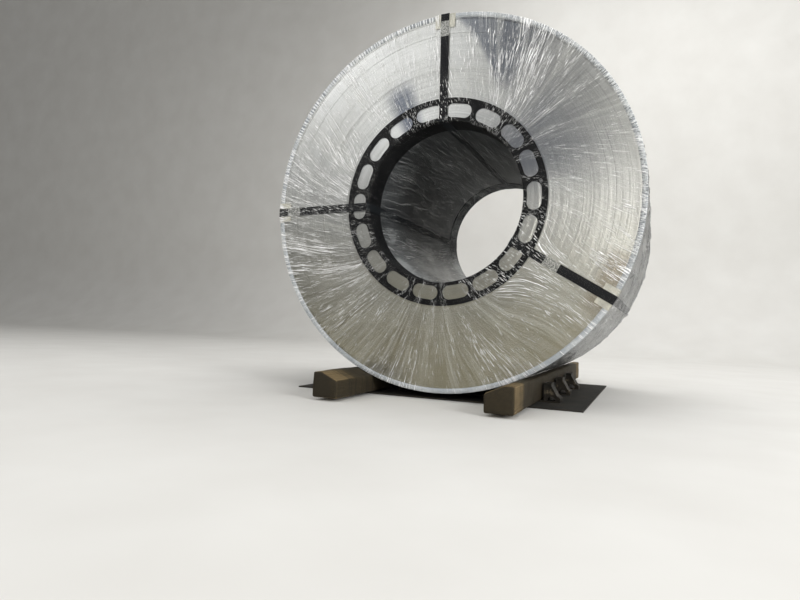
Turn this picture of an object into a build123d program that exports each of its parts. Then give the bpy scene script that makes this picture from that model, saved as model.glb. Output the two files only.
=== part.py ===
from build123d import *
import math
import os

# Sizes in millimetres. Every size below is written once and the rest follows from them.

# The wound steel
coil_diameter = 1415.0
bore_diameter = 610.0
strip_width = 1140.0
turn_groups = 11
deepest_turn = 2.2

# Room left between two pieces that touch
touch_gap = 0.3

# Black ring at the eye
eye_ring_thickness = 2.5
eye_flange_width = 84.0
eye_collar_depth = 110.0
window_count = 18
window_phase = 1.0
window_inner_margin = 10.0
window_outer_margin = 22.0
window_share = 0.84

# Pale ring at the rim
rim_ring_thickness = 1.2
rim_flange_width = 17.0
rim_leg_length = 60.0
pleat_count = 48
pleat_depth = 5.0
pleat_width = 2.4

# Straps through the eye
strap_angles = [91.0, 181.6, 329.9]
seal_setbacks = [53.5, 66.5, 238.5]
strap_width = 32.0
strap_thickness = 0.8
strap_bend = 1.2

# Seals on the straps
seal_length = 58.0
seal_wall = 0.6
seal_clearance = 0.1
crimp_depth = 2.0
crimp_width = 5.0

# Plates under the straps at the rim
corner_plate_thickness = 1.0
corner_plate_leg = 50.0
corner_plate_arc = 80.0

# Clear film wound through the eye, with its gathered folds across the ends
film_thickness = 0.4
film_turnover = 12.0
fold_count = 40
fold_width = 5.0
fold_spread = 0.6

# Floor mat
mat_width = 1122.0
mat_offset = -39.0
mat_thickness = 5.0
mat_setback = 28.0

# Timbers
timber_width = 97.0
timber_height = 90.0
timber_half_gap = 256.0
timber_overhang = 280.0
timber_top_flat = 35.0
bevel_angle = 24.5

# Steel racks that hold the timbers
rack_count = 3
rack_first = 230.0
rack_pitch = 295.0
rack_width = 70.0
rack_plate = 5.0
rack_height = 71.0
rack_slack = 10.0
cheek_height = 42.0
bracket_top = 26.0
bracket_reach = 59.0
bracket_toe = 17.0
bracket_waist = 0.36
web_recess = 3.0
arch_radius = 16.0

# Values worked out from the sizes
coil_radius = coil_diameter / 2
bore_radius = bore_diameter / 2
half_width = strip_width / 2
eye_outer = bore_radius + eye_flange_width
eye_inner = bore_radius - touch_gap - eye_ring_thickness
rim_inner = coil_radius - rim_flange_width
rim_level = touch_gap + rim_ring_thickness
plate_floor = rim_level + touch_gap
plate_level = plate_floor + corner_plate_thickness
eye_level = touch_gap + eye_ring_thickness
strap_floor = max(plate_level, eye_level) + touch_gap + seal_wall + seal_clearance
strap_level = strap_floor + strap_thickness
film_floor = max(eye_level, rim_level) + touch_gap
barrel_floor = rim_level + touch_gap
barrel_film = coil_radius + barrel_floor + film_thickness
seat_radius = barrel_film + touch_gap
bevel = math.radians(bevel_angle)
timber_bottom = mat_thickness + rack_plate
timber_top = timber_bottom + timber_height
timber_length = strip_width + 2 * timber_overhang
bevel_top_x = timber_half_gap + timber_width - timber_top_flat
axis_height = timber_top + (seat_radius - bevel_top_x * math.sin(bevel)) / math.cos(bevel)
strap_eye_side = math.sqrt((eye_inner - touch_gap) ** 2 - (strap_width / 2) ** 2)
strap_eye_reach = strap_eye_side - strap_thickness
film_eye = strap_eye_reach - touch_gap
seal_distances = [coil_radius - setback for setback in seal_setbacks]


def turned(points, arc=360.0):
    """A solid turned about the axis of the coil from points of radius and depth."""
    outline = Polyline(*points, close=True)
    return revolve(make_face(outline), axis=Axis.Y, revolution_arc=arc)


def raised(solid):
    """The solid lifted from the origin to the height of the coil's axis."""
    return Pos(0, 0, axis_height) * solid


def mirrored(solid):
    """The same solid at the other end of the coil."""
    return mirror(solid, about=Plane.XZ)


def save(solid, name):
    """Write one piece."""
    export_step(solid, "parts/" + name + ".step")


def turn_outline(phase):
    """Radius and depth of the stepped end, from the bore to the rim."""
    start = eye_outer + 6.0
    stop = rim_inner - 4.0
    width = (stop - start) / turn_groups
    points = [(bore_radius, half_width), (start, half_width)]
    for index in range(turn_groups):
        depth = deepest_turn * (0.35 + 0.65 * abs(math.sin(1.9 * index + phase)))
        inner = start + width * index
        points.append((inner, half_width - depth))
        points.append((inner + width, half_width - depth))
    points.append((stop, half_width))
    points.append((coil_radius, half_width))
    return points


def steel_coil():
    """The wound strip as one turned solid, with the turns as shallow steps on both ends."""
    back = turn_outline(0.4)
    front = [(radius, -depth) for radius, depth in turn_outline(1.7)]
    return raised(turned(back + front[::-1]))


def eye_ring():
    """Flanged ring with rounded windows, its collar in the bore, at the front end."""
    face = -half_width - touch_gap
    outer_face = face - eye_ring_thickness
    collar_outer = bore_radius - touch_gap
    collar_end = -half_width + eye_collar_depth
    edge = 1.0
    ring = turned(
        [
            (eye_inner, collar_end),
            (collar_outer, collar_end),
            (collar_outer, face),
            (eye_outer, face),
            (eye_outer, outer_face),
            (eye_inner + edge, outer_face),
            (eye_inner, outer_face + edge),
        ]
    )
    inside = bore_radius + window_inner_margin
    outside = eye_outer - window_outer_margin
    middle = (inside + outside) / 2
    height = outside - inside
    pitch = 360.0 / window_count
    straight = pitch * window_share - math.degrees(height / middle)
    start = window_phase - straight / 2
    slot = SlotArc(CenterArc((0, 0), middle, start, straight), height)
    cutter = Plane.XZ * slot
    cutter = extrude(cutter, amount=-face + 20.0)
    cutter -= extrude(Plane.XZ * slot, amount=-face - 1.0)
    windows = [Rot(0, pitch * index, 0) * cutter for index in range(window_count)]
    return raised(ring - windows)


def rim_ring():
    """Angle ring over the rim, with pleats in its face flange, at the front end."""
    face = -half_width - touch_gap
    outer_face = face - rim_ring_thickness
    leg_end = -half_width + rim_leg_length
    leg_outer = coil_radius + rim_level
    edge = 0.8
    ring = turned(
        [
            (coil_radius + touch_gap, leg_end),
            (leg_outer, leg_end),
            (leg_outer, outer_face + edge),
            (leg_outer - edge, outer_face),
            (rim_inner, outer_face),
            (rim_inner, face),
            (coil_radius + touch_gap, face),
        ]
    )
    slot = Pos(rim_inner, outer_face) * Box(2 * pleat_depth, 10 * rim_ring_thickness, pleat_width)
    pleats = [Rot(0, 360.0 / pleat_count * (index + 0.5), 0) * slot for index in range(pleat_count)]
    return raised(ring - pleats)


def loop_box(inner, outer, reach, width, bend):
    """A flat rounded block in the plane of radius and depth."""
    middle = (inner + outer) / 2
    outline = Pos(middle, 0) * RectangleRounded(outer - inner, 2 * reach, bend)
    return extrude(outline, amount=width / 2, both=True)


def strap_block(angle, spare):
    """One strap and all that it goes round, larger by the spare."""
    inner = strap_eye_reach - spare
    outer = coil_radius + strap_level + spare
    reach = half_width + strap_level + spare
    bend = strap_bend + strap_thickness + spare
    block = loop_box(inner, outer, reach, strap_width + 2 * spare, bend)
    return raised(Rot(0, -angle, 0) * block)


def strap(angle):
    """One strap as a closed loop through the eye."""
    inner = strap_eye_reach + strap_thickness
    outer = coil_radius + strap_floor
    reach = half_width + strap_floor
    hole = loop_box(inner, outer, reach, strap_width + 20.0, strap_bend)
    return strap_block(angle, 0.0) - raised(Rot(0, -angle, 0) * hole)


def seal(angle, distance, spare=0.0):
    """A crimped sleeve round one strap on the front end, filled and larger where spare is given."""
    middle = -half_width - (strap_floor + strap_level) / 2
    room = seal_wall + seal_clearance + spare
    high = strap_thickness + 2 * room
    wide = strap_width + 2 * room
    body = Box(seal_length + 2 * spare, high, wide)
    if spare == 0.0:
        slot = 2 * seal_clearance
        body -= Box(seal_length + 2, strap_thickness + slot, strap_width + slot)
        notch = Box(crimp_width, high + 2, crimp_depth)
        for along in (-0.25, 0.25):
            for side in (-1, 1):
                body -= Pos(along * seal_length, 0, side * wide / 2) * notch
    return raised(Rot(0, -angle, 0) * Pos(distance, middle, 0) * body)


def corner_plate(angle, spare=0.0):
    """Angle plate over the rim under one strap, at the front end."""
    face = -half_width - plate_floor
    outer_face = -half_width - plate_level - spare
    inner = coil_radius + plate_floor
    outer = coil_radius + plate_level + spare
    short = coil_radius - corner_plate_leg - spare
    end = -half_width + corner_plate_leg + spare
    edge = 0.6
    turn = math.degrees((corner_plate_arc + 2 * spare) / coil_radius)
    plate = turned(
        [
            (inner, end),
            (outer, end),
            (outer, outer_face + edge),
            (outer - edge, outer_face),
            (short, outer_face),
            (short, face),
            (inner, face),
        ],
        turn,
    )
    return raised(Rot(0, -angle, 0) * Rot(0, -turn / 2, 0) * plate)


def film_block(spare):
    """Everything inside the film as one block, larger by the spare all round."""
    inner = film_eye - spare
    outer = coil_radius + barrel_floor + spare
    reach = half_width + film_floor + spare
    block = raised(turned([(inner, -reach), (outer, -reach), (outer, reach), (inner, reach)]))
    room = touch_gap + spare
    extras = []
    for angle, distance in zip(strap_angles, seal_distances):
        extras.append(strap_block(angle, room))
        extras.append(seal(angle, distance, room))
        extras.append(corner_plate(angle, room))
        extras.append(mirrored(corner_plate(angle, room)))
    return block.fuse(*extras)


def film_folds():
    """Gathered folds of the film, straight across each end, clear of the straps."""
    folds = []
    reach = 2 * (half_width + film_floor + film_thickness)
    for index in range(fold_count):
        angle = 360.0 / fold_count * (index + 0.6 * math.sin(2.7 * index))
        turns = [abs((angle - other + 180.0) % 360.0 - 180.0) for other in strap_angles]
        if min(turns) < 6.5:
            continue
        wide = fold_width * (1.0 + fold_spread * math.sin(1.7 * index))
        length = coil_radius - eye_inner
        block = Pos(eye_inner + length / 2, 0, 0) * Box(length, reach + 2.0, wide)
        folds.append(Rot(0, -angle, 0) * block)
    return raised(Part() + folds)


def stretch_film():
    """The film as a thin skin over the barrel and in the eye, joined by its folds."""
    skin = film_block(film_thickness) - film_block(0.0)
    inner = eye_inner + film_turnover
    outer = coil_radius - film_turnover
    near = half_width + touch_gap / 2
    far = half_width + strap_level + 10.0
    opening = turned([(inner, near), (outer, near), (outer, far), (inner, far)])
    openings = raised(opening + mirrored(opening))
    return skin - (openings - film_folds())


def timber(side):
    """One bearing timber, bevelled to the round of the coil."""
    near = timber_half_gap
    far = timber_half_gap + timber_width
    low = timber_top - (bevel_top_x - near) * math.tan(bevel)
    outline = Polyline(
        (side * near, timber_bottom),
        (side * far, timber_bottom),
        (side * far, timber_top),
        (side * bevel_top_x, timber_top),
        (side * near, low),
        close=True,
    )
    return extrude(Plane.XZ * make_face(outline), amount=timber_length / 2, both=True)


def bracket(side):
    """The hollow outer bracket of a rack, with a web and an arched hole at each face."""
    floor = mat_thickness
    root = timber_half_gap + timber_width + rack_slack
    reach = root + bracket_reach
    top = floor + rack_height
    knee = top - (top - floor) * 0.14
    waist = floor + (top - floor) * bracket_waist
    outline = Polyline(
        (side * root, floor),
        (side * root, top),
        (side * (root + bracket_top), top),
        (side * (root + bracket_top), knee),
        (side * (root + bracket_top + 0.62 * (bracket_reach - bracket_top)), waist),
        (side * reach, floor + bracket_toe),
        (side * reach, floor),
        close=True,
    )
    face = make_face(outline)
    shell = extrude(Plane.XZ * face, amount=rack_width / 2, both=True)
    room = offset(face, amount=-rack_plate, kind=Kind.INTERSECTION)
    inside = extrude(Plane.XZ * room, amount=rack_width, both=True)
    depth = rack_width / 2 - web_recess
    webs = extrude(Plane.XZ * room, amount=depth, both=True)
    webs -= extrude(Plane.XZ * room, amount=depth - rack_plate, both=True)
    arch = Pos(side * (root + 0.45 * bracket_reach), floor + rack_plate) * Circle(arch_radius)
    webs -= extrude(Plane.XZ * arch, amount=rack_width, both=True)
    return (shell - inside) + webs


def rack(depth):
    """One coil rack: a flat bar with an inner cheek and an outer bracket for each timber."""
    floor = mat_thickness
    reach = timber_half_gap + timber_width + rack_slack + rack_plate
    body = Pos(0, 0, floor + rack_plate / 2) * Box(2 * reach, rack_width, rack_plate)
    inner = timber_half_gap - touch_gap - rack_plate
    for side in (-1, 1):
        cheek = Pos(side * (inner + rack_plate / 2), 0, floor + cheek_height / 2)
        body += cheek * Box(rack_plate, rack_width, cheek_height)
        body += bracket(side)
    return Pos(0, depth, 0) * body


def friction_mat():
    """The rubber mat under the racks."""
    length = strip_width - 2 * mat_setback
    return Pos(mat_offset, 0, mat_thickness / 2) * Box(mat_width, length, mat_thickness)


os.makedirs("parts", exist_ok=True)
save(steel_coil(), "steel_coil")
front_eye = eye_ring()
save(front_eye, "eye_ring_front")
save(mirrored(front_eye), "eye_ring_rear")
front_rim = rim_ring()
save(front_rim, "rim_ring_front")
save(mirrored(front_rim), "rim_ring_rear")
names = ["top", "left", "right"]
for name, angle, distance in zip(names, strap_angles, seal_distances):
    save(strap(angle), "strap_" + name)
    save(seal(angle, distance), "seal_" + name)
    plate = corner_plate(angle)
    save(plate, "corner_plate_front_" + name)
    save(mirrored(plate), "corner_plate_rear_" + name)
save(stretch_film(), "stretch_film")
save(timber(-1), "timber_left")
save(timber(1), "timber_right")
for index in range(rack_count):
    save(rack(-half_width + rack_first + rack_pitch * index), "rack_" + str(index + 1))
save(friction_mat(), "friction_mat")
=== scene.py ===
import math
import bpy
import bmesh
from mathutils import Matrix, Vector, noise


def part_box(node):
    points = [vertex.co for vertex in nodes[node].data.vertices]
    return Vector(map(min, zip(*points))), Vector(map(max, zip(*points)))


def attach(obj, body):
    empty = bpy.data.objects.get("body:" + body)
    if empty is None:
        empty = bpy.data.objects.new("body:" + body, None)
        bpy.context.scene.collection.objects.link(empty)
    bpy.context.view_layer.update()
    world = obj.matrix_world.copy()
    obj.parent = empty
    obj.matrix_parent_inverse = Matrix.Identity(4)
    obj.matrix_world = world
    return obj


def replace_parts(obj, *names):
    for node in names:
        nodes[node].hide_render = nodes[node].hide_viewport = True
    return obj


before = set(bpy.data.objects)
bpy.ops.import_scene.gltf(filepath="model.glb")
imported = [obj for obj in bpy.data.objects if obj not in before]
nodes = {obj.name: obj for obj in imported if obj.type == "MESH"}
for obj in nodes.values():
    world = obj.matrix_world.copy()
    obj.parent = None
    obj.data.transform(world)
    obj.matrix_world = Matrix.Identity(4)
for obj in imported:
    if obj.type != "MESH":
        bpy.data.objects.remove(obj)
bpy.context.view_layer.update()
coilLow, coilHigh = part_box("steel_coil")
axisHeight = (coilLow.z + coilHigh.z) / 2
coilRadius = (coilHigh.x - coilLow.x) / 2
halfWidth = coilHigh.y
boreRadius = 0.305
print("frame loaded, coil axis at", round(axisHeight, 4))


def display(red, green, blue):
    # a colour as it is seen on a screen, 0 to 255, as linear light
    parts = []
    for value in (red, green, blue):
        share = value / 255
        parts.append(share / 12.92 if share <= 0.04045 else ((share + 0.055) / 1.055) ** 2.4)
    return (*parts, 1.0)


class Wire:
    # one shader socket, which takes part in sums
    def __init__(self, paint, socket):
        self.paint = paint
        self.socket = socket

    def __add__(self, other):
        return self.paint.math("ADD", self, other)

    def __radd__(self, other):
        return self.paint.math("ADD", other, self)

    def __sub__(self, other):
        return self.paint.math("SUBTRACT", self, other)

    def __rsub__(self, other):
        return self.paint.math("SUBTRACT", other, self)

    def __mul__(self, other):
        return self.paint.math("MULTIPLY", self, other)

    def __rmul__(self, other):
        return self.paint.math("MULTIPLY", other, self)

    def __truediv__(self, other):
        return self.paint.math("DIVIDE", self, other)

    def __rtruediv__(self, other):
        return self.paint.math("DIVIDE", other, self)

    def __abs__(self):
        return self.paint.math("ABSOLUTE", self)


class Paint:
    # one node-based material
    def __init__(self, name):
        self.material = bpy.data.materials.new(name)
        self.material.use_nodes = True
        self.tree = self.material.node_tree
        self.tree.nodes.clear()
        self.shader = self.tree.nodes.new("ShaderNodeBsdfPrincipled")
        output = self.tree.nodes.new("ShaderNodeOutputMaterial")
        self.tree.links.new(self.shader.outputs[0], output.inputs[0])

    def plug(self, socket, value):
        if isinstance(value, Wire):
            self.tree.links.new(value.socket, socket)
        else:
            socket.default_value = value

    def node(self, kind, settings=None, values=(), output=0):
        made = self.tree.nodes.new(kind)
        for key, value in (settings or {}).items():
            if key == "stops":
                ramp = made.color_ramp
                while len(ramp.elements) < len(value):
                    ramp.elements.new(0.5)
                for element, (place, colour) in zip(ramp.elements, value):
                    element.position = place
                    element.color = colour
            else:
                setattr(made, key, value)
        pairs = values.items() if isinstance(values, dict) else enumerate(values)
        for key, value in pairs:
            self.plug(made.inputs[key], value)
        return Wire(self, made.outputs[output])

    def math(self, operation, *values):
        return self.node("ShaderNodeMath", {"operation": operation}, values)

    def most(self, first, second):
        return self.math("MAXIMUM", first, second)

    def vector(self, operation, *values, output=0):
        return self.node("ShaderNodeVectorMath", {"operation": operation}, values, output)

    def split(self, vector):
        made = self.node("ShaderNodeSeparateXYZ", None, [vector]).socket.node
        return [Wire(self, socket) for socket in made.outputs]

    def step(self, value, low, high):
        # 0 below low, 1 above high, smooth between
        smooth = {"interpolation_type": "SMOOTHSTEP"}
        return self.node("ShaderNodeMapRange", smooth, [value, low, high, 0.0, 1.0])

    def grain(self, vector, scale=1.0, detail=2.0, roughness=0.5):
        values = {"Vector": vector, "Scale": scale, "Detail": detail, "Roughness": roughness}
        return self.node("ShaderNodeTexNoise", None, values)

    def mix(self, factor, first, second):
        values = {0: factor, 6: first, 7: second}
        return self.node("ShaderNodeMix", {"data_type": "RGBA"}, values, 2)

    def ramp(self, factor, stops):
        return self.node("ShaderNodeValToRGB", {"stops": stops}, [factor])

    def bump(self, height, strength, distance):
        values = {"Strength": strength, "Distance": distance, "Height": height}
        return self.node("ShaderNodeBump", None, values)

    def place(self):
        return self.node("ShaderNodeTexCoord", output="Object")

    def facing(self):
        return self.node("ShaderNodeNewGeometry", output="Normal")

    def stretched(self, position, x, y, z):
        return self.vector("MULTIPLY", position, (x, y, z))

    def finish(self, **sockets):
        names = {"colour": "Base Color", "roughness": "Roughness", "metallic": "Metallic",
                 "normal": "Normal", "alpha": "Alpha", "specular": "Specular IOR Level"}
        for key, value in sockets.items():
            self.plug(self.shader.inputs[names[key]], value)
        return self.material


class Round:
    # the coil's own coordinates: radius, angle from the right hand side, and depth
    def __init__(self, paint):
        self.paint = paint
        self.position = paint.place()
        centred = paint.vector("SUBTRACT", self.position, (0.0, 0.0, axisHeight))
        across, self.depth, self.up = paint.split(centred)
        self.flat = paint.stretched(centred, 1.0, 0.0, 1.0)
        self.radius = paint.vector("LENGTH", self.flat, output=1)
        self.angle = paint.math("ARCTAN2", self.up, across)

    def degrees(self):
        return self.angle * (180.0 / math.pi)

    def grain(self, angle, along, around, lengthwise, detail=2.0, start=0.0):
        # noise that runs round the coil without a seam
        paint = self.paint
        x = paint.math("COSINE", angle) * around
        z = paint.math("SINE", angle) * around
        vector = paint.node("ShaderNodeCombineXYZ", None, [x, z, along * lengthwise + start])
        return paint.grain(vector, detail=detail)


def clamp(value):
    return max(0.0, min(1.0, value))


def turnBetween(first, second):
    # degrees from the second to the first, -180 to 180
    return (first - second + 180.0) % 360.0 - 180.0


def polar(point):
    up = point.z - axisHeight
    return math.hypot(point.x, up), math.atan2(up, point.x)


def fromPolar(radius, angle, depth):
    return Vector((radius * math.cos(angle), depth, axisHeight + radius * math.sin(angle)))


def wavering(angle, along, around, lengthwise, seed):
    # smooth noise round the coil, about -1 to 1
    x = math.cos(angle) * around
    z = math.sin(angle) * around
    return noise.noise(Vector((x, z, along * lengthwise + seed)))


doublings = 5  # a ring is made as one sector, doubled this many times
sectors = 2 ** doublings


def spun(profile, perSector):
    # a ring turned about the coil's axis from points of radius and depth
    bm = bmesh.new()
    chain = [bm.verts.new((radius, depth, axisHeight)) for radius, depth in profile]
    for first, second in zip(chain, chain[1:]):
        bm.edges.new((first, second))
    span = 2 * math.pi / sectors
    centre = (0.0, 0.0, axisHeight)
    bmesh.ops.spin(bm, geom=bm.verts[:] + bm.edges[:], cent=centre, axis=(0.0, 1.0, 0.0),
                   dvec=(0.0, 0.0, 0.0), angle=span, steps=perSector)
    # doubling a sector is far quicker than one long spin
    for _ in range(doublings):
        copied = bmesh.ops.duplicate(bm, geom=bm.verts[:] + bm.edges[:] + bm.faces[:])
        moved = [item for item in copied["geom"] if isinstance(item, bmesh.types.BMVert)]
        bmesh.ops.rotate(bm, verts=moved, cent=centre, matrix=Matrix.Rotation(span, 3, "Y"))
        span *= 2
    bmesh.ops.remove_doubles(bm, verts=bm.verts[:], dist=1e-5)
    return bm


def extruded(bm, grown, offset):
    # moves what an extrude has just made
    moved = [item for item in grown["geom"] if isinstance(item, bmesh.types.BMVert)]
    bmesh.ops.translate(bm, verts=moved, vec=offset)


def smoothObject(bm, name, material):
    mesh = bpy.data.meshes.new(name)
    bm.to_mesh(mesh)
    bm.free()
    mesh.materials.append(material)
    for polygon in mesh.polygons:
        polygon.use_smooth = True
    made = bpy.data.objects.new(name, mesh)
    bpy.context.scene.collection.objects.link(made)
    return made


def finishPiece(bm, name, material):
    piece = smoothObject(bm, name, material)
    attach(piece, "root")
    return piece


steel = {
    "bright": display(182, 183, 181),
    "line": display(130, 131, 130),
    "dull": display(160, 160, 155),
    "warmReflection": display(150, 147, 130),  # painted warm reflection and shade on the lower half of the ends
    "strawReflection": display(146, 138, 108),  # painted straw reflection on their lowest part
    "brownShade": display(122, 112, 94),  # painted shade in a patch beside the right hand strap
    # painted dark reflections on the ends
    "coolReflection": display(88, 93, 103),
    # painted shade inside the eye
    "bore": display(24, 28, 31),
    "waver": 0.008,
    "endTilt": 0.55,
    "sideTilt": 0.16,
    "roughness": 0.24,
}


def coolStretches(turn, degrees):
    # painted dark reflections: a wedge at one o'clock, a spot above the eye and a faint stretch
    # at two o'clock
    paint = turn.paint
    wedgeEdge = degrees - (turn.radius - 0.50) * 92.0
    wedge = paint.step(degrees, 51.0, 65.0) * paint.step(wedgeEdge, 71.5, 67.5)
    wedge = wedge * paint.step(turn.radius, 0.42, 0.52)
    spot = paint.step(abs(degrees - 114.0), 11.0, 2.0) * paint.step(turn.radius, 0.53, 0.44)
    faint = paint.step(abs(degrees - 30.0), 34.0, 8.0) * paint.step(turn.radius, 0.69, 0.42)
    return paint.most(wedge * 0.85, spot * 0.95) + faint * 0.75


def steelPaint():
    paint = Paint("coilSteel")
    turn = Round(paint)
    degrees = turn.degrees()
    onEnd = paint.step(abs(turn.depth), halfWidth - 0.008, halfWidth - 0.003)
    # inside the eye the steel is painted dark, dull and not metallic, as shade
    inBore = paint.step(turn.radius, boreRadius + 0.004, boreRadius + 0.001)
    # turns: fine rounds whose lean spreads a lamp's gleam along the radius
    wave = turn.grain(turn.angle, turn.radius, 2.6, 3.0)
    turns = turn.radius + wave * steel["waver"]
    fine = turn.grain(turn.angle, turns, 0.5, 900.0, 3.0)
    broad = turn.grain(turn.angle, turns, 1.3, 340.0, 2.0, 4.0)
    along = turn.grain(turn.angle, turn.depth, 1.0, 420.0, 3.0)
    endTilt = (fine - 0.5) * steel["endTilt"] + (broad - 0.5) * 0.06
    sideTilt = (along - 0.5) * steel["sideTilt"]
    outward = paint.vector("NORMALIZE", turn.flat)
    outward = paint.node("ShaderNodeVectorMath", {"operation": "SCALE"},
                         {0: outward, "Scale": endTilt * onEnd})
    sideways = paint.node("ShaderNodeCombineXYZ", None, [0.0, sideTilt * (1.0 - onEnd), 0.0])
    leaning = paint.vector("ADD", paint.vector("ADD", paint.facing(), outward), sideways)
    normal = paint.vector("NORMALIZE", leaning)
    lines = paint.step(broad, 0.40, 0.70) * onEnd
    patch = turn.grain(turn.angle, turn.radius, 1.6, 5.0, 3.0, 9.0)
    # painted shade in a patch beside the right hand strap
    beside = paint.step(abs(degrees + 27.0), 13.0, 5.0) * paint.step(turn.radius, 0.60, 0.65)
    tones = [
        ("line", lines * 0.36),
        ("dull", paint.step(patch, 0.35, 0.75) * 0.35),
        # painted warm reflection and shade low on the ends
        ("warmReflection", paint.step(turn.up, 0.10, -0.50) * onEnd * 0.9),
        ("strawReflection", paint.step(turn.up, -0.30, -0.60) * onEnd * 0.6),
        ("brownShade", beside * onEnd * 0.75),
        ("coolReflection", coolStretches(turn, degrees) * onEnd),
        ("bore", inBore),
    ]
    colour = steel["bright"]
    for tone, share in tones:
        colour = paint.mix(share, colour, steel[tone])
    roughness = steel["roughness"] + patch * 0.16 + inBore * 0.45
    return paint.finish(colour=colour, metallic=1.0 - inBore, roughness=roughness, normal=normal)


eyeRing = {
    "black": display(10, 10, 12),
    "scuffed": display(46, 46, 49),
    "specular": 0.12,
}


def ringPaint():
    paint = Paint("eyeRingBlack")
    turn = Round(paint)
    scuff = paint.grain(turn.position, 38.0, 4.0, 0.6)
    fine = turn.grain(turn.angle, turn.radius, 40.0, 30.0, 3.0)
    worn = paint.step(scuff, 0.56, 0.74)
    # the collar inside the eye is deep black and dull, and the far one is blended to the bore's
    # painted shade
    collar = paint.step(turn.radius, 0.314, 0.306)
    colour = paint.mix(worn * (0.5 - collar * 0.4), eyeRing["black"], eyeRing["scuffed"])
    colour = paint.mix(collar * paint.step(turn.depth, 0.0, 0.1), colour, steel["bore"])
    normal = paint.bump(scuff * 0.6 + fine * 0.4, 0.35, 0.0015)
    roughness = 0.42 + worn * 0.2 + collar * 0.35
    return paint.finish(colour=colour, roughness=roughness, normal=normal,
                        specular=eyeRing["specular"])


rimRing = {
    "flange": 0.017,
    "leg": 0.060,
    "thickness": 0.0012,
    "gap": 0.0003,
    "crimps": 368,
    "perCrimp": 6,
    "faceCrimp": 0.0012,
    "legCrimp": 0.0020,
    "rearShare": 0.55,
    # middle, reach and strength of the stretches that are crimped hardest, in degrees
    "stretches": [(132.0, 48.0, 1.0), (22.0, 34.0, 0.35)],
    "sheet": display(154, 160, 165),
    "pale": display(190, 194, 197),
    "scuffed": display(140, 146, 152),
    # painted highlights on the crests and painted shade in the hollows of crumples and crimps
    "crumpleHighlight": display(244, 245, 245),
    "crumpleShade": display(92, 96, 100),
    "crimpHighlight": display(240, 242, 243),
    "crimpShade": display(112, 118, 126),
}


def rimPaint():
    paint = Paint("rimRingSheet")
    turn = Round(paint)
    cloud = turn.grain(turn.angle, turn.radius, 9.0, 30.0, 3.0)
    scuff = paint.grain(turn.position, 90.0, 3.0, 0.6)
    # on the upper right the sheet and the film over it are crumpled together
    crumpled = paint.step(abs(turn.degrees() - 24.0), 60.0, 34.0)
    crumple = turn.grain(turn.angle, turn.radius + turn.depth, 210.0, 70.0, 3.0, 5.0)
    pressed = paint.node("ShaderNodeAttribute", {"attribute_name": "pressed"}, output="Fac")
    tones = [
        ("pale", paint.step(cloud, 0.35, 0.68)),
        ("scuffed", paint.step(scuff, 0.60, 0.75) * 0.6),
        # crumple and crimp tones paint highlights on crests and shade in hollows
        ("crumpleHighlight", paint.step(crumple, 0.55, 0.62) * crumpled),
        ("crumpleShade", paint.step(crumple, 0.45, 0.38) * crumpled),
        ("crimpHighlight", paint.step(pressed, 0.1, 0.7)),
        ("crimpShade", paint.step(pressed, -0.1, -0.7)),
    ]
    colour = rimRing["sheet"]
    for tone, share in tones:
        colour = paint.mix(share, colour, rimRing[tone])
    normal = paint.bump(scuff * 0.2 + crumple * crumpled, 0.9, 0.004)
    return paint.finish(colour=colour, roughness=0.34 + cloud * 0.2, metallic=0.35, normal=normal)


def crimped(angle, side):
    # how hard the crimps are pressed, 0 to 1, strongest on two stretches
    pressed = 0.12 + 0.5 * max(0.0, wavering(angle, 0.0, 2.2, 1.0, 3.0 + side))
    for middle, reach, strength in rimRing["stretches"]:
        turn = abs(turnBetween(math.degrees(angle), middle))
        pressed = max(pressed, strength * clamp((reach - turn) / 12.0))
    return min(1.0, pressed * (0.75 + 0.9 * wavering(angle, 0.0, 12.0, 1.0, 6.0)))


def crimpedRing(name, node, side, material):
    # thin angle ring over the rim with crimps pressed into its corner
    gap = rimRing["gap"]
    under = coilRadius + gap
    inner = coilRadius - rimRing["flange"]
    outer = coilRadius + gap + rimRing["thickness"]
    face = halfWidth + gap + rimRing["thickness"]
    legEnd = halfWidth - rimRing["leg"]
    profile = [
        (under, legEnd),
        (outer, legEnd),
        (outer, halfWidth - 0.030),
        (outer, halfWidth - 0.010),
        (outer, halfWidth - 0.002),
        (outer - 0.0008, face - 0.0003),
        (outer - 0.0030, face),
        (outer - 0.0080, face),
        (inner, face),
        (inner, halfWidth + gap),
        (coilRadius - 0.004, halfWidth + gap),
        (under, halfWidth + gap),
        (under, halfWidth - 0.010),
        (under, legEnd),
    ]
    perSector = rimRing["crimps"] * rimRing["perCrimp"] // sectors
    bm = spun([(radius, side * depth) for radius, depth in profile], perSector)
    pressed = bm.verts.layers.float.new("pressed")
    for vert in bm.verts:
        radius, angle = polar(vert.co)
        depth = abs(vert.co.y)
        onFace = depth > face - 0.0006
        if radius <= coilRadius + 0.0008 and not onFace:
            continue
        patch = crimped(angle, side) * (1.0 if side < 0 else rimRing["rearShare"])
        slip = wavering(angle, 0.0, 45.0, 1.0, 8.0) * 3.4
        wave = 0.5 + 0.5 * math.sin(angle * rimRing["crimps"] + slip)
        away = abs(coilRadius - radius) / 0.016
        nearCorner = max(0.0, 1.0 - away - max(0.0, halfWidth - depth) / 0.045)
        press = wave * patch * nearCorner
        vert[pressed] = (wave * 2 - 1) * patch
        if onFace:
            vert.co = fromPolar(radius, angle, side * (depth + press * rimRing["faceCrimp"]))
        else:
            vert.co = fromPolar(radius + press * rimRing["legCrimp"], angle, side * depth)
    bmesh.ops.recalc_face_normals(bm, faces=bm.faces[:])
    piece = finishPiece(bm, name, material)
    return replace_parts(piece, node)


strap = {
    "black": display(14, 15, 18),
    "scratched": display(78, 80, 84),
    "specular": 0.12,
}


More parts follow.
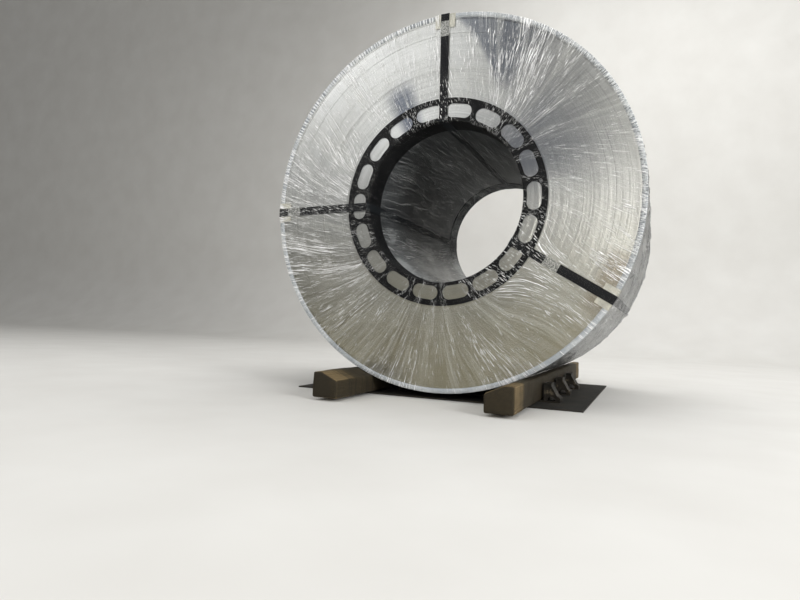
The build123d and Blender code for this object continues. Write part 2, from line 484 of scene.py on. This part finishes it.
def strapPaint():
    paint = Paint("strapBlack")
    turn = Round(paint)
    scratch = paint.grain(turn.position, 240.0, 3.0, 0.65)
    cloud = paint.grain(turn.position, 22.0, 2.0)
    inEye = paint.step(turn.radius, 0.315, 0.305)
    worn = paint.step(scratch, 0.60, 0.76) * (1.0 - inEye)
    colour = paint.mix(worn * 0.55, strap["black"], strap["scratched"])
    # inside the eye the strap is blended to the bore's painted shade
    colour = paint.mix(inEye * 0.7, colour, steel["bore"])
    roughness = 0.34 + cloud * 0.22 + inEye * 0.36
    normal = paint.bump(scratch, 0.25, 0.0008)
    return paint.finish(colour=colour, roughness=roughness, normal=normal,
                        specular=strap["specular"])


seal = {
    "dark": display(84, 86, 84),
    "zinc": display(196, 196, 190),
    "metallic": 0.85,
}


def sealPaint():
    paint = Paint("sealZinc")
    position = paint.place()
    dent = paint.grain(position, 120.0, 2.0)
    spot = paint.grain(position, 420.0, 2.0)
    colour = paint.mix(paint.step(spot, 0.35, 0.7), seal["dark"], seal["zinc"])
    normal = paint.bump(dent, 0.7, 0.003)
    return paint.finish(colour=colour, metallic=seal["metallic"], roughness=0.28 + spot * 0.2,
                        normal=normal)


plate = {
    "sheet": display(164, 162, 150),
    "pale": display(200, 197, 182),
    "spot": display(110, 106, 94),
    "metallic": 0.3,
    "roughness": 0.45,
}


def platePaint():
    paint = Paint("cornerPlateSheet")
    position = paint.place()
    cloud = paint.grain(position, 26.0, 3.0, 0.6)
    spot = paint.grain(position, 260.0, 3.0, 0.6)
    colour = paint.mix(paint.step(cloud, 0.3, 0.7), plate["sheet"], plate["pale"])
    colour = paint.mix(paint.step(spot, 0.62, 0.75) * 0.5, colour, plate["spot"])
    normal = paint.bump(cloud, 0.3, 0.002)
    return paint.finish(colour=colour, metallic=plate["metallic"], roughness=plate["roughness"],
                        normal=normal)


film = {
    "eyeRadius": 0.30005,
    "barrelRadius": 0.7096,
    "turnover": 0.012,
    "faceLift": 0.0035,
    "strapLift": 0.0060,
    "strapSwell": 0.0034,
    "strapAngles": (91.0, 181.6, 329.9),
    "tentReach": 0.046,  # how far from a strap's middle the film touches down
    "tentSlope": 0.028,
    "seatReach": 32.0,  # degrees from the bottom that lie flat on the timbers
    "faceFold": 0.0022,
    "barrelFold": 0.0110,
    "eyeFold": 0.0030,
    "faceRings": 44,
    "sideRings": 56,
    "facePerSector": 45,
    "barrelPerSector": 38,
    "eyePerSector": 24,
    # colour of the painted highlights
    "highlightWhite": display(250, 250, 250),
}
# angle from the left hand side, with the share of painted glint streaks there
endBundles = [
    (0, 0.9), (5, 0.7), (18, 0.6), (26, 0.65), (36, 0.45), (46, 0.55), (56, 0.32), (72, 0.25),
    (84, 0.42), (96, 0.2), (108, 0.42), (118, 0.35), (126, 0.25), (144, 0.2), (154, 0.6),
    (165, 0.6), (176, 0.35), (187, 0.3), (198, 0.08), (216, 0.1), (226, 0.6), (234, 0.95),
    (243, 1.0), (252, 0.4), (266, 0.35), (271, 0.8), (277, 0.4), (292, 0.45), (308, 0.8),
    (318, 0.3), (336, 0.7), (360, 0.9),
]
evenBundles = [(0, 0.5), (90, 0.45), (180, 0.55), (360, 0.5)]
# how the folds sweep there, 0 clockwise to 1 anticlockwise towards the eye
endLeans = [
    (0, 0.80), (28, 0.84), (50, 0.66), (70, 0.70), (84, 0.5), (100, 0.12), (122, 0.16),
    (142, 0.45), (168, 0.82), (186, 0.86), (203, 0.82), (219, 0.5), (229, 0.28), (244, 0.20),
    (262, 0.30), (276, 0.5), (310, 0.5), (338, 0.80), (360, 0.80),
]
# sway is how far the folds wander, around and dash how fine they are round and along;
# veil, haze, hair, soft and low make the film less clear, soft and low being painted light over
# the steel, and glint paints white highlights on its creases
endLook = {
    "bundles": endBundles, "leans": endLeans, "sway": 0.07, "around": 360.0, "dash": 26.0,
    "hair": 0.09, "cloud": 9.0, "veil": 0.008, "haze": 0.07, "low": 0.02, "soft": 0.14,
    "glint": 1.0, "overRim": 0.05, "bump": 0.5, "relief": 0.003, "gloss": 0.16, "metal": 0.0,
    "sheet": display(236, 237, 230), "creaseShade": display(225, 226, 222),
    "blackUnder": "ring", "speck": 0.8,
    "quiet": [(160.0, 28.0)],  # angle and reach of a stretch of the ring with few painted glint specks
    # angle in degrees, how bare the film is there, and the radius where painted glint specks end
    "overStraps": [(91.0, 1.0, 0.47), (-178.4, 0.9, 0.80), (-30.1, 1.0, 0.45)],
}
barrelLook = {
    "bundles": evenBundles, "leans": None, "lean": -0.12, "sway": 0.08, "around": 260.0,
    "dash": 14.0, "hair": 0.20, "cloud": 10.0, "veil": 0.34, "haze": 0.18, "low": 0.0,
    "soft": 0.0, "glint": 0.70, "overRim": 0.0, "bump": 0.9, "relief": 0.006, "gloss": 0.24,
    "metal": 0.55, "sheet": display(140, 143, 146), "creaseShade": display(84, 87, 91),
    "blackUnder": None,
}
eyeLook = {
    "bundles": evenBundles, "leans": None, "lean": -0.25, "sway": 0.3, "around": 80.0,
    "dash": 3.0, "hair": 0.10, "cloud": 4.0, "veil": 0.01, "haze": 0.08, "low": 0.95,
    "soft": 0.0, "glint": 0.25, "overRim": 0.0, "bump": 0.9, "relief": 0.006, "gloss": 0.30,
    "metal": 0.0, "sheet": display(176, 180, 180), "creaseShade": display(104, 108, 110),
    "blackUnder": "collar", "speck": 0.25, "quiet": [], "overStraps": [],
}


def aroundStops(pairs):
    return [(place / 360.0, (weight, weight, weight, 1.0)) for place, weight in pairs]


def foldPath(turn, share, look):
    # what the folds run along, and how far they sweep aside on the way
    paint = turn.paint
    if not look["leans"]:
        return turn.depth, turn.depth * look["lean"]
    path = turn.radius + turn.depth * 0.35
    leaning = paint.ramp(share, aroundStops(look["leans"])) * 3.2 - 1.6
    inward = paint.most(0.70 - path, 0.0)
    return path, leaning * inward * inward * 1.15


def overBlack(turn, look, angle, path, crowd, thick):
    # over black parts the film is bare but for painted glint specks
    paint = turn.paint
    if look["blackUnder"] == "ring":
        bare = paint.step(turn.radius, 0.398, 0.390)
    else:
        # near the front of the eye the film is bare over the black collar, and as painted shade
        # of the entrance
        bare = paint.step(turn.depth, 0.108 - halfWidth, 0.104 - halfWidth)
    glinting = bare
    for degrees, weight, reach in look["overStraps"]:
        turned = turn.angle - math.radians(degrees)
        beside = abs(paint.math("SINE", turned) * turn.radius)
        sameSide = paint.step(paint.math("COSINE", turned), 0.0, 0.1)
        onStrap = paint.step(beside, 0.018, 0.016) * sameSide
        bare = paint.most(bare, onStrap * weight)
        glinting = paint.most(glinting, onStrap)
        glinting = glinting - onStrap * paint.step(turn.radius, reach - 0.04, reach + 0.02)
    # the specks are painted glints
    speck = turn.grain(angle, path, look["around"] * 0.72, 50.0, 2.0, 37.0)
    gathered = paint.step(crowd + thick * 0.2, 0.50, 0.62)
    glintSpecks = paint.step(speck, 0.60, 0.65) * gathered * glinting
    for degrees, reach in look["quiet"]:
        away = paint.math("COSINE", turn.angle - math.radians(degrees))
        outerEdge, innerEdge = [math.cos(math.radians(reach + soft)) for soft in (12.0, -12.0)]
        calm = paint.step(away, outerEdge, innerEdge) * paint.step(turn.radius, 0.400, 0.390)
        glintSpecks = glintSpecks * (1.0 - calm * 0.75)
    return bare, glintSpecks


def filmPaint(name, look):
    paint = Paint(name)
    turn = Round(paint)
    share = turn.angle / (2 * math.pi) + 0.5
    thick = paint.ramp(share, aroundStops(look["bundles"]))
    path, swept = foldPath(turn, share, look)
    around = look["around"]
    sway = turn.grain(turn.angle, path, 1.4, 2.2, 1.0, 2.0)
    bent = turn.angle + (sway - 0.5) * look["sway"] - swept
    otherSway = turn.grain(turn.angle, path, 2.6, 3.0, 1.0, 7.0)
    otherBent = turn.angle + (otherSway - 0.5) * (look["sway"] * 1.2) - swept * 0.6
    # folds of several sizes, and where they crowd
    hair = turn.grain(bent, path, around * 0.5, 3.0, 2.0, 1.0)
    cloud = turn.grain(bent, path, look["cloud"], 5.0, 4.0, 23.0)
    long = turn.grain(bent, path, around, 6.0, 2.0)
    dash = turn.grain(otherBent, path, around * 0.8, look["dash"], 1.0, 5.0)
    other = turn.grain(bent, path, around, 13.0, 2.0, 31.0)
    crowd = turn.grain(bent, path, 9.0, 2.6, 3.0, 11.0)
    otherCrowd = turn.grain(otherBent, path, 12.0, 5.0, 3.0, 17.0)
    gather = (crowd - 0.5) * 0.55 + (thick - 0.5) * 0.12
    if look["overRim"]:
        # more painted glints where the film turns over the rim
        gather = gather + paint.step(turn.radius, 0.684, 0.700) * look["overRim"]
    otherGather = (otherCrowd - 0.5) * 0.50 + (thick - 0.5) * 0.12
    # streaks and dashes are painted white highlights
    streaks = paint.step(other + gather, 0.66, 0.69)
    dashes = paint.step(dash + otherGather, 0.69, 0.72)
    glint = paint.most(streaks, dashes)
    # what keeps the film from being quite clear, with faint as weak painted highlight lines
    hairs = paint.step(hair, 0.46, 0.66) * look["hair"]
    faint = paint.step(long, 0.50, 0.66) * (thick * 0.16 + 0.07)
    haze = paint.step(cloud, 0.42, 0.70) * look["haze"]
    # low is painted light on the lower part, strongest low in the eye
    if look["low"]:
        haze = haze + paint.step(turn.up, 0.0, -0.26) * look["low"]
    clear = haze + hairs + faint + look["veil"]
    if look["soft"]:
        # painted light in broad folds that only lighten the steel behind them
        broad = turn.grain(bent, path, 44.0, 1.6, 2.0, 41.0)
        clear = clear + paint.step(broad, 0.46, 0.74) * look["soft"]
    if look["blackUnder"]:
        bare, glintSpecks = overBlack(turn, look, otherBent, path, crowd, thick)
        glint = paint.most(glint * (1.0 - bare), glintSpecks * look["speck"])
        clear = clear * (1.0 - bare * 0.94)
    alpha = paint.most(glint * look["glint"], clear)
    # creaseShade is painted shade in the film's creases
    colour = paint.mix(paint.step(cloud, 0.42, 0.62), look["creaseShade"], look["sheet"])
    colour = paint.mix(glint, colour, film["highlightWhite"])
    relief = long * 0.4 + dash * 0.2 + hair * 0.1 + cloud * 0.3
    normal = paint.bump(relief, look["bump"], look["relief"])
    metal = look["metal"] * (1.0 - glint) if look["metal"] else 0.0
    return paint.finish(colour=colour, roughness=look["gloss"], normal=normal, alpha=alpha,
                        metallic=metal)


def strapRise(radius, angle):
    # 1 over a strap, falling to 0 beside it
    degrees = math.degrees(angle)
    turns = [turnBetween(degrees, strapAngle) for strapAngle in film["strapAngles"]]
    nearest = min(abs(math.radians(turn)) * radius for turn in turns)
    return clamp((film["tentReach"] - nearest) / film["tentSlope"])


def gatheredFolds(angle, path, lean, seed):
    # height of the film's gathered folds, 0 to about 1
    sway = wavering(angle, path, 1.4, 2.2, seed) * 0.22
    bent = angle + sway + path * lean
    large = max(0.0, wavering(bent, path, 26.0, 4.0, seed + 3.0)) ** 1.5
    small = max(0.0, wavering(bent + sway, path, 60.0, 7.0, seed + 8.0)) ** 1.5
    return large * 1.1 + small * 0.7


def endFilm(name, side, material):
    # one end of the wrap, from the barrel over the face into the eye
    rim = film["barrelRadius"]
    eye = film["eyeRadius"]
    face = halfWidth + film["faceLift"]
    corner = 0.0026
    drop = 0.0012
    edge = [(0.0, halfWidth - film["turnover"]), (0.0, halfWidth - 0.004),
            (0.0006, face - drop), (corner, face)]
    profile = [(rim - inset, depth) for inset, depth in edge]
    count = film["faceRings"]
    for index in range(1, count):
        profile.append((rim - corner - (rim - eye - 2 * corner) * index / count, face))
    profile += [(eye + inset, depth) for inset, depth in reversed(edge)]
    bm = spun([(radius, side * depth) for radius, depth in profile], film["facePerSector"])
    for vert in bm.verts:
        radius, angle = polar(vert.co)
        depth = abs(vert.co.y)
        flat = clamp((depth - face + drop) / drop)
        inside = clamp(min((radius - eye) / 0.03, (rim - radius) / 0.02))
        rise = strapRise(radius, angle)
        folds = gatheredFolds(angle, radius, 0.25 * side, 5.0 + side) * film["faceFold"]
        lift = rise * (film["strapLift"] - film["faceLift"]) + folds * (0.15 + 0.85 * inside)
        outer = clamp((radius - rim + 0.01) / 0.008)
        swell = outer * rise * film["strapSwell"]
        vert.co = fromPolar(radius + swell, angle, side * (depth + lift * flat))
    bmesh.ops.recalc_face_normals(bm, faces=bm.faces[:])
    return finishPiece(bm, name, material)


def sideProfile(radius):
    # rings from one end's turnover to the other's
    rings = film["sideRings"]
    reach = halfWidth - film["turnover"]
    return reach, [(radius, -reach + 2 * reach * index / rings) for index in range(rings + 1)]


def barrelFilm(material):
    reach, profile = sideProfile(film["barrelRadius"])
    bm = spun(profile, film["barrelPerSector"])
    for vert in bm.verts:
        radius, angle = polar(vert.co)
        depth = vert.co.y
        near = clamp((reach - abs(depth)) / 0.03)
        swell = strapRise(radius, angle) * film["strapSwell"]
        if abs(turnBetween(math.degrees(angle), -90.0)) < film["seatReach"]:
            folds = 0.0
        else:
            folds = gatheredFolds(angle, depth, 0.25, 21.0) * film["barrelFold"]
            folds *= 0.1 + 0.9 * near
        vert.co = fromPolar(radius + swell + folds, angle, depth)
    bmesh.ops.recalc_face_normals(bm, faces=bm.faces[:])
    piece = finishPiece(bm, "filmBarrel", material)
    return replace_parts(piece, "stretch_film")


def eyeFilm(material):
    reach, profile = sideProfile(film["eyeRadius"])
    bm = spun(profile, film["eyePerSector"])
    for vert in bm.verts:
        radius, angle = polar(vert.co)
        depth = vert.co.y
        near = clamp((reach - abs(depth)) / 0.05)
        folds = gatheredFolds(angle, depth, 1.1, 33.0) * film["eyeFold"] * near
        vert.co = fromPolar(radius - folds, angle, depth)
    bmesh.ops.recalc_face_normals(bm, faces=bm.faces[:])
    bmesh.ops.reverse_faces(bm, faces=bm.faces[:])
    return finishPiece(bm, "filmEye", material)


timber = {
    "topFlat": 0.035,
    "bevelAngle": 24.5,
    "edgeRound": 0.008,
    "cuts": 110,
    "sideCuts": 3,
    "wear": 0.0030,
    "dark": display(42, 36, 24),
    "mid": display(98, 84, 58),
    "pale": display(158, 136, 100),
    "dirtAndShadow": display(44, 39, 29),
    "specular": 0.2,
}


def woodPaint(side):
    paint = Paint("timberWood" + ("Right" if side > 0 else "Left"))
    position = paint.place()
    # year rings about a heart line below and beside the section
    heart = paint.vector("SUBTRACT", position, (side * 0.245, 0.0, -0.045))
    across = paint.stretched(heart, 1.0, 0.0, 1.0)
    wobble = paint.grain(paint.stretched(position, 14.0, 1.6, 14.0), 1.0, 3.0)
    ringRadius = paint.vector("LENGTH", across, output=1) + wobble * 0.016
    rings = paint.math("SINE", ringRadius * 1500.0) * 0.5 + 0.5
    fibre = paint.grain(paint.stretched(position, 420.0, 9.0, 420.0), 1.0, 3.0, 0.6)
    stain = paint.grain(paint.stretched(position, 12.0, 4.0, 12.0), 1.0, 4.0, 0.6)
    pores = paint.grain(paint.stretched(position, 900.0, 60.0, 900.0), 1.0, 2.0)
    saw = paint.grain(paint.stretched(position, 6.0, 120.0, 6.0), 1.0, 3.0)
    sideways, lengthwise, _ = paint.split(paint.facing())
    endGrain = paint.step(abs(lengthwise), 0.5, 0.8)
    _, along, _ = paint.split(position)
    # painted shadow where the roll covers the timber and on the inner side
    inner = paint.step(sideways * -side, 0.6, 0.9)
    coilShadow = paint.most(paint.step(abs(along), 0.76, 0.68), inner)
    tone = rings * (0.22 - endGrain * 0.12) + fibre * 0.5 + stain * 0.4 - endGrain * 0.20
    stops = [(0.30, timber["dark"]), (0.55, timber["mid"]), (0.82, timber["pale"])]
    sawn = paint.step(saw, 0.50, 0.60)
    # dirt from stains, end grain and saw marks, plus painted shadow under the roll
    dirtAndShadow = paint.step(stain, 0.55, 0.75) * 0.4 + endGrain * 0.55 + sawn * 0.6 + coilShadow * 0.9
    colour = paint.mix(dirtAndShadow, paint.ramp(tone, stops), timber["dirtAndShadow"])
    height = rings * 0.2 + fibre * 0.45 + pores * 0.15 + saw * 0.3
    normal = paint.bump(height, 0.55, 0.0025)
    return paint.finish(colour=colour, roughness=0.78 - fibre * 0.12, normal=normal,
                        specular=timber["specular"])


def acrossTimber(edge):
    first, second = edge.verts
    return edge.calc_length() > 0.02 and abs(first.co.y - second.co.y) < 1e-5


def wornTimber(name, node, side, material):
    # sawn timber with its top edge bevelled, its corners worn round
    low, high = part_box(node)
    near = min(abs(low.x), abs(high.x))
    far = max(abs(low.x), abs(high.x))
    bevelTop = far - timber["topFlat"]
    lowTop = high.z - (bevelTop - near) * math.tan(math.radians(timber["bevelAngle"]))
    corners = [(near, low.z), (far, low.z), (far, high.z), (bevelTop, high.z), (near, lowTop)]
    bm = bmesh.new()
    bm.faces.new([bm.verts.new((side * x, low.y, z)) for x, z in corners])
    grown = bmesh.ops.extrude_face_region(bm, geom=bm.faces[:])
    extruded(bm, grown, (0.0, high.y - low.y, 0.0))
    bmesh.ops.recalc_face_normals(bm, faces=bm.faces[:])
    bmesh.ops.bevel(bm, geom=bm.edges[:], offset=timber["edgeRound"], segments=3, profile=0.5,
                    affect="EDGES", material=-1)
    long = [edge for edge in bm.edges if edge.calc_length() > 1.0]
    bmesh.ops.subdivide_edges(bm, edges=long, cuts=timber["cuts"], use_grid_fill=True)
    wide = [edge for edge in bm.edges if acrossTimber(edge)]
    bmesh.ops.subdivide_edges(bm, edges=wide, cuts=timber["sideCuts"], use_grid_fill=True)
    for vert in bm.verts:
        spot = Vector((vert.co.x * 30.0, vert.co.y * 9.0, vert.co.z * 30.0 + side * 7.0))
        hollow = max(0.0, noise.noise(spot) + 0.25 * noise.noise(spot * 4.0))
        vert.co -= vert.normal * hollow * timber["wear"]
    piece = finishPiece(bm, name, material)
    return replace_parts(piece, node)


rack = {
    "dark": display(19, 17, 13),
    "rust": display(41, 36, 27),
    "rubbed": display(150, 136, 112),
    "metallic": 0.45,
}


def rackPaint():
    paint = Paint("rackSteel")
    position = paint.place()
    rust = paint.grain(position, 34.0, 5.0, 0.65)
    pit = paint.grain(position, 260.0, 3.0, 0.6)
    rub = paint.step(rust, 0.56, 0.66)
    colour = paint.mix(paint.step(rust, 0.30, 0.55), rack["dark"], rack["rust"])
    colour = paint.mix(rub * 0.35, colour, rack["rubbed"])
    normal = paint.bump(pit * 0.6 + rust * 0.4, 0.4, 0.0016)
    return paint.finish(colour=colour, metallic=rack["metallic"], roughness=0.62 - rub * 0.15,
                        normal=normal)


mat = {
    "rubber": display(23, 21, 16),
    "dust": display(47, 43, 34),
    "speck": display(96, 90, 76),
    "roughness": 0.88,
}


def matPaint():
    paint = Paint("matRubber")
    position = paint.place()
    crumb = paint.node("ShaderNodeTexVoronoi", None, {"Vector": position, "Scale": 260.0})
    dust = paint.grain(position, 9.0, 5.0, 0.6)
    speck = paint.grain(position, 300.0, 2.0)
    colour = paint.mix(paint.step(dust, 0.35, 0.7), mat["rubber"], mat["dust"])
    colour = paint.mix(paint.step(speck, 0.62, 0.72) * 0.5, colour, mat["speck"])
    normal = paint.bump(crumb, 0.5, 0.002)
    return paint.finish(colour=colour, roughness=mat["roughness"], normal=normal)


steelMaterial = steelPaint()
ringMaterial = ringPaint()
rimMaterial = rimPaint()
strapMaterial = strapPaint()
sealMaterial = sealPaint()
plateMaterial = platePaint()
rackMaterial = rackPaint()
matMaterial = matPaint()
print("materials ready")


def dress(node, material):
    piece = nodes[node]
    piece.data.materials.clear()
    piece.data.materials.append(material)


dress("steel_coil", steelMaterial)
for node in ("eye_ring_front", "eye_ring_rear"):
    dress(node, ringMaterial)
for side in ("top", "left", "right"):
    dress("strap_" + side, strapMaterial)
    dress("seal_" + side, sealMaterial)
    dress("corner_plate_front_" + side, plateMaterial)
    dress("corner_plate_rear_" + side, plateMaterial)
for index in range(1, 4):
    dress("rack_" + str(index), rackMaterial)
dress("friction_mat", matMaterial)

crimpedRing("rimRingFront", "rim_ring_front", -1, rimMaterial)
crimpedRing("rimRingRear", "rim_ring_rear", 1, rimMaterial)
print("rim rings crimped")

wornTimber("timberLeft", "timber_left", -1, woodPaint(-1))
wornTimber("timberRight", "timber_right", 1, woodPaint(1))
print("timbers worn")

endMaterial = filmPaint("filmEndClear", endLook)
endFilm("filmFront", -1, endMaterial)
endFilm("filmRear", 1, endMaterial)
barrelFilm(filmPaint("filmBarrelClear", barrelLook))
eyeFilm(filmPaint("filmEyeClear", eyeLook))
print("film wrapped")

coilMiddle = (0.0, -0.2, 0.7)
studio = {
    "floor": display(208, 206, 201),
    "wall": display(222, 221, 217),
    "front": -14.0,
    "back": 4.2,
    "bend": 1.4,
    "top": 7.0,
    "halfWidth": 16.0,
    "worldFront": 0.20,
    "worldBack": 0.50,
    "camera": (0.7344715, -2.6683722, 0.2777223),
    "turn": (1.60921045, -0.03960455, 0.39857632),
    "lens": 27.0764,
    # name, place, what it is aimed at, width and height, power and tint
    "lamps": [
        ("keyLamp", (-3.3, -5.0, 3.85), coilMiddle, (4.2, 2.6), 84.0, (1.0, 1.0, 1.0)),
        ("lowLamp", (1.2, -6.2, 1.5), coilMiddle, (1.3, 0.9), 52.0, (1.0, 0.97, 0.92)),
        ("topLamp", (0.5, 0.5, 5.2), (0.5, 0.5, 0.0), (5.0, 5.0), 150.0, (1.0, 1.0, 1.0)),
        ("sideLamp", (5.0, -3.4, 2.2), coilMiddle, (2.0, 2.0), 210.0, (1.0, 1.0, 1.0)),
        ("wallLamp", (1.5, 2.2, 5.5), (2.5, 5.6, 1.6), (6.0, 1.0), 120.0, (1.0, 1.0, 1.0)),
    ],
}


def sweep():
    # floor and backdrop in one curved sheet
    bm = bmesh.new()
    back = studio["back"]
    bend = studio["bend"]
    outline = [(studio["front"], 0.0), (back, 0.0)]
    for index in range(1, 9):
        turn = math.radians(90.0 * index / 8)
        outline.append((back + bend * math.sin(turn), bend - bend * math.cos(turn)))
    outline.append((back + bend, studio["top"]))
    chain = [bm.verts.new((-studio["halfWidth"], y, z)) for y, z in outline]
    edges = [bm.edges.new(pair) for pair in zip(chain, chain[1:])]
    grown = bmesh.ops.extrude_edge_only(bm, edges=edges)
    extruded(bm, grown, (2 * studio["halfWidth"], 0.0, 0.0))
    paint = Paint("sweepPaint")
    speck = paint.grain(paint.place(), 3.0, 3.0)
    colour = paint.mix(speck, studio["floor"], studio["wall"])
    piece = smoothObject(bm, "sweep", paint.finish(colour=colour, roughness=0.9))


def lamp(name, place, target, size, power, tint):
    light = bpy.data.lights.new(name, "AREA")
    light.shape = "RECTANGLE"
    light.size, light.size_y = size
    light.energy = power
    light.color = tint
    shown = bpy.data.objects.new(name, light)
    shown.location = place
    aim = Vector(target) - Vector(place)
    shown.rotation_euler = aim.to_track_quat("-Z", "Y").to_euler()
    bpy.context.scene.collection.objects.link(shown)


def roomLight():
    # lighter behind the coil and beside it than in front
    world = bpy.data.worlds.new("studioWorld")
    bpy.context.scene.world = world
    world.use_nodes = True
    tree = world.node_tree
    facing = tree.nodes.new("ShaderNodeTexCoord")
    split = tree.nodes.new("ShaderNodeSeparateXYZ")
    spread = tree.nodes.new("ShaderNodeMapRange")
    spread.interpolation_type = "SMOOTHSTEP"
    spread.inputs["From Min"].default_value = -0.75
    spread.inputs["From Max"].default_value = 0.0
    spread.inputs["To Min"].default_value = studio["worldFront"]
    spread.inputs["To Max"].default_value = studio["worldBack"]
    tree.links.new(facing.outputs["Generated"], split.inputs[0])
    tree.links.new(split.outputs[1], spread.inputs[0])
    tree.links.new(spread.outputs[0], tree.nodes["Background"].inputs["Strength"])
    tree.nodes["Background"].inputs["Color"].default_value = (1.0, 1.0, 1.0, 1.0)


sweep()
for settings in studio["lamps"]:
    lamp(*settings)
roomLight()

cameraData = bpy.data.cameras.new("studioCamera")
cameraData.lens = studio["lens"]
cameraData.sensor_width = 36.0
cameraData.clip_end = 60.0
camera = bpy.data.objects.new("studioCamera", cameraData)
camera.location = studio["camera"]
camera.rotation_euler = studio["turn"]
bpy.context.scene.collection.objects.link(camera)
bpy.context.scene.camera = camera
bpy.context.scene.view_settings.view_transform = "Standard"
print("studio lit")
